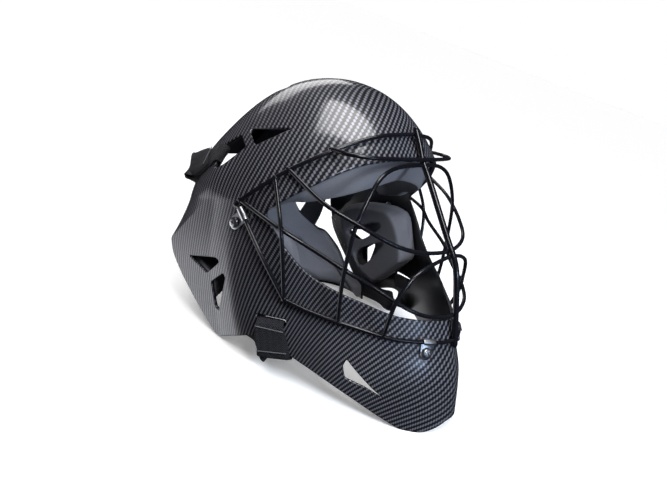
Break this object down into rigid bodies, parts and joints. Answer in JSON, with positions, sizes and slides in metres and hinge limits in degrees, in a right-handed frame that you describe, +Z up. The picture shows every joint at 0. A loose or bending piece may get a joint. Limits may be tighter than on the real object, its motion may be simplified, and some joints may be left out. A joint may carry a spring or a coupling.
{
  "type": "hockey goalie mask",
  "caption": "Hockey goalie mask: glossy hard shell with a welded wire cage over the face, grey foam pads inside and a padded back plate held by webbing straps.",
  "frame": {"origin": "Middle of the bounding box seen from above, on the surface the mask stands on.", "axes": "+X to the wearer's left, +Y to the back of the mask, +Z up with the mask leaning back about 24 degrees on its chin and the two rear corners of the shell."},
  "size_m": [0.2552, 0.3434, 0.2443],
  "materials": {
    "shell_carbon": "printed twill weave under a thick clear gloss coat",
    "cage_black": "welded steel wire, gloss black powder coat",
    "clip_zinc": "bright zinc-plated sheet and screws",
    "foam_grey": "closed-cell foam with a smooth matt lining",
    "plate_black": "moulded plate, satin black",
    "webbing_black": "woven webbing with stitched ends"
  },
  "bodies": {
    "root": {"shell": "shell_carbon", "cage": "cage_black", "clip_temple_right": "clip_zinc", "clip_temple_left": "clip_zinc", "clip_chin_right": "clip_zinc", "clip_chin_left": "clip_zinc", "screw_temple_right": "clip_zinc", "screw_temple_left": "clip_zinc", "screw_chin_right": "clip_zinc", "screw_chin_left": "clip_zinc", "brow_pad": "foam_grey", "ear_pad_right": "foam_grey", "ear_pad_left": "foam_grey", "back_plate": "plate_black", "back_pad": "foam_grey", "strap_upper_right": "webbing_black", "strap_upper_left": "webbing_black", "strap_lower_right": "webbing_black", "strap_lower_left": "webbing_black"}
  },
  "joints": []
}
